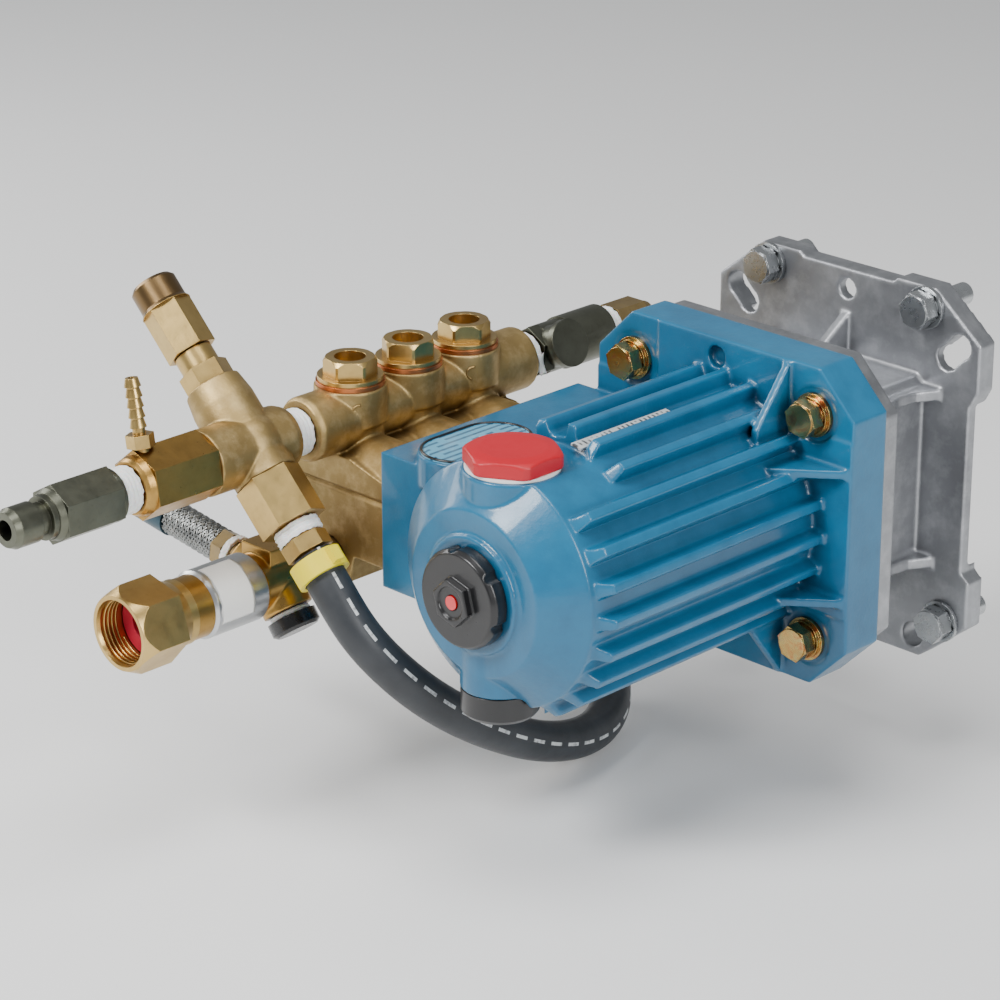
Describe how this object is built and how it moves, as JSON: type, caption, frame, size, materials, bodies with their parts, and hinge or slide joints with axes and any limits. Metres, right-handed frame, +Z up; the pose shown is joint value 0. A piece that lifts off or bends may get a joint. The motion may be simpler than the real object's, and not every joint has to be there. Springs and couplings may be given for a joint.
{
  "type": "pressure washer pump",
  "caption": "Direct-drive plunger pump for a pressure washer: blue finned crankcase, brass manifold, unloader with bypass hose, hose inlet, quick-connect outlet and engine flange.",
  "frame": {"origin": "on the crank axis, in the plane where the engine adapter meets the engine", "axes": "+Y along the crank axis towards the engine, -X towards the brass manifold, +Z up"},
  "size_m": [0.2606, 0.3676, 0.2089],
  "materials": {
    "blue_paint": "gloss enamel over a sand casting",
    "aluminium_plate": "machined",
    "bearing_steel": "ground",
    "seal_rubber": "matt",
    "forged_steel": "machined journals",
    "rod_aluminium": "cast",
    "ground_steel": "ground",
    "ceramic": "polished",
    "turned_brass": "turned, bright",
    "cast_brass": "sand cast, matt",
    "bar_brass": "machined bar, slightly tarnished",
    "old_brass": "tarnished pipe fitting",
    "black_steel": "black oxide",
    "copper_ring": "soft copper",
    "stainless": "drawn stainless",
    "red_plastic": "moulded, smooth",
    "white_gasket": "matt",
    "black_plastic": "moulded, satin",
    "red_lens": "clear moulded dot",
    "plate_metal": "printed plate without lettering",
    "cast_aluminium": "bare die casting",
    "zinc_steel": "clear zinc plate",
    "yellow_zinc": "yellow zinc plate",
    "white_tape": "thread sealing tape",
    "dark_zinc": "dull zinc plate",
    "yellow_plastic": "moulded clip",
    "hose_rubber": "extruded, satin",
    "red_rubber": "moulded washer",
    "cap_rubber": "moulded, semi gloss",
    "relief_metal": "dark blue-grey over brass",
    "braided_steel": "woven wire sleeve"
  },
  "bodies": {
    "pump": {"crankcase": "blue_paint", "bearing_cover": "aluminium_plate", "shaft_bearings": "bearing_steel", "shaft_seal": "seal_rubber", "oil_seals": "seal_rubber", "packing_retainers": "turned_brass", "plunger_packings": "seal_rubber", "manifold": "cast_brass", "manifold_bolts": "black_steel", "valve_caps": "turned_brass", "cap_rings": "copper_ring", "valve_seats": "ground_steel", "filler_gasket": "white_gasket", "sight_glass": "black_plastic", "sight_lens": "red_lens", "label_plates": "plate_metal", "engine_plate": "cast_aluminium", "adapter_bell": "cast_aluminium", "adapter_webs": "cast_aluminium", "engine_bolts": "zinc_steel", "pump_bolts": "yellow_zinc", "unloader_body": "cast_brass", "unloader_neck": "turned_brass", "pipe_nipples": "old_brass", "thread_tape": "white_tape", "injector_body": "bar_brass", "injector_barb": "turned_brass", "outlet_plug": "dark_zinc", "bypass_barb": "turned_brass", "hose_collar": "yellow_plastic", "bypass_hose": "hose_rubber", "inlet_elbow": "bar_brass", "inlet_tee": "bar_brass", "inlet_tail": "bar_brass", "strainer_sleeve": "stainless", "inlet_washer": "red_rubber", "tee_cap": "cap_rubber", "relief_valve": "relief_metal", "relief_braid": "braided_steel", "discharge_tee": "dark_zinc"},
    "crankshaft": {"crankshaft": "forged_steel"},
    "rod_1": {"connecting_rod_1": "rod_aluminium"},
    "plunger_1": {"crosshead_1": "ground_steel", "plunger_1": "ceramic"},
    "discharge_valve_1": {"discharge_valve_1": "stainless"},
    "inlet_valve_1": {"inlet_valve_1": "stainless"},
    "rod_2": {"connecting_rod_2": "rod_aluminium"},
    "plunger_2": {"crosshead_2": "ground_steel", "plunger_2": "ceramic"},
    "discharge_valve_2": {"discharge_valve_2": "stainless"},
    "inlet_valve_2": {"inlet_valve_2": "stainless"},
    "rod_3": {"connecting_rod_3": "rod_aluminium"},
    "plunger_3": {"crosshead_3": "ground_steel", "plunger_3": "ceramic"},
    "discharge_valve_3": {"discharge_valve_3": "stainless"},
    "inlet_valve_3": {"inlet_valve_3": "stainless"},
    "filler_cap": {"filler_cap": "red_plastic"},
    "drain_cap": {"drain_cap": "black_plastic"},
    "adjuster": {"adjuster_cap": "turned_brass"},
    "swivel_nut": {"swivel_nut": "turned_brass"}
  },
  "joints": [
    {"name": "crank_spin", "type": "hinge", "parent": "pump", "child": "crankshaft", "pos_m": [0, 0, 0], "axis": [0, 1, 0], "continuous": true},
    {"name": "rod_1_turn", "type": "hinge", "parent": "crankshaft", "child": "rod_1", "pos_m": [0, -0.1795, 0.0032], "axis": [0, 1, 0], "continuous": true},
    {"name": "rod_2_turn", "type": "hinge", "parent": "crankshaft", "child": "rod_2", "pos_m": [0.00277, -0.1475, -0.0016], "axis": [0, 1, 0], "continuous": true},
    {"name": "rod_3_turn", "type": "hinge", "parent": "crankshaft", "child": "rod_3", "pos_m": [-0.00277, -0.1155, -0.0016], "axis": [0, 1, 0], "continuous": true},
    {"name": "plunger_1_stroke", "type": "slide", "parent": "pump", "child": "plunger_1", "axis": [-1, 0, 0], "range_m": [-0.0032, 0.0032]},
    {"name": "plunger_2_stroke", "type": "slide", "parent": "pump", "child": "plunger_2", "axis": [-1, 0, 0], "range_m": [-0.00043, 0.00597]},
    {"name": "plunger_3_stroke", "type": "slide", "parent": "pump", "child": "plunger_3", "axis": [-1, 0, 0], "range_m": [-0.00597, 0.00043]},
    {"name": "discharge_valve_1_lift", "type": "slide", "parent": "pump", "child": "discharge_valve_1", "axis": [0, 0, 1], "range_m": [0, 0.003], "stiffness_N_per_m": 400, "springref_m": -0.001},
    {"name": "discharge_valve_2_lift", "type": "slide", "parent": "pump", "child": "discharge_valve_2", "axis": [0, 0, 1], "range_m": [0, 0.003], "stiffness_N_per_m": 400, "springref_m": -0.001},
    {"name": "discharge_valve_3_lift", "type": "slide", "parent": "pump", "child": "discharge_valve_3", "axis": [0, 0, 1], "range_m": [0, 0.003], "stiffness_N_per_m": 400, "springref_m": -0.001},
    {"name": "inlet_valve_1_lift", "type": "slide", "parent": "pump", "child": "inlet_valve_1", "axis": [0, 0, 1], "range_m": [0, 0.002], "stiffness_N_per_m": 400, "springref_m": -0.001},
    {"name": "inlet_valve_2_lift", "type": "slide", "parent": "pump", "child": "inlet_valve_2", "axis": [0, 0, 1], "range_m": [0, 0.002], "stiffness_N_per_m": 400, "springref_m": -0.001},
    {"name": "inlet_valve_3_lift", "type": "slide", "parent": "pump", "child": "inlet_valve_3", "axis": [0, 0, 1], "range_m": [0, 0.002], "stiffness_N_per_m": 400, "springref_m": -0.001},
    {"name": "filler_cap_off", "type": "slide", "parent": "pump", "child": "filler_cap", "axis": [0, 0, 1], "range_m": [0, 0.03]},
    {"name": "drain_cap_off", "type": "slide", "parent": "pump", "child": "drain_cap", "axis": [0, 0, -1], "range_m": [0, 0.03]},
    {"name": "adjuster_turn", "type": "hinge", "parent": "pump", "child": "adjuster", "pos_m": [-0.115, -0.234, 0.03], "axis": [-0.7133, 0, 0.7009], "range_deg": [-540, 180]},
    {"name": "swivel_nut_turn", "type": "hinge", "parent": "pump", "child": "swivel_nut", "pos_m": [-0.112, -0.29, -0.026], "axis": [0, 1, 0], "continuous": true}
  ],
  "couplings": [
    {"joint": "rod_1_turn", "follows": "crank_spin", "ratio": -1},
    {"joint": "rod_2_turn", "follows": "crank_spin", "ratio": -1},
    {"joint": "rod_3_turn", "follows": "crank_spin", "ratio": -1}
  ]
}
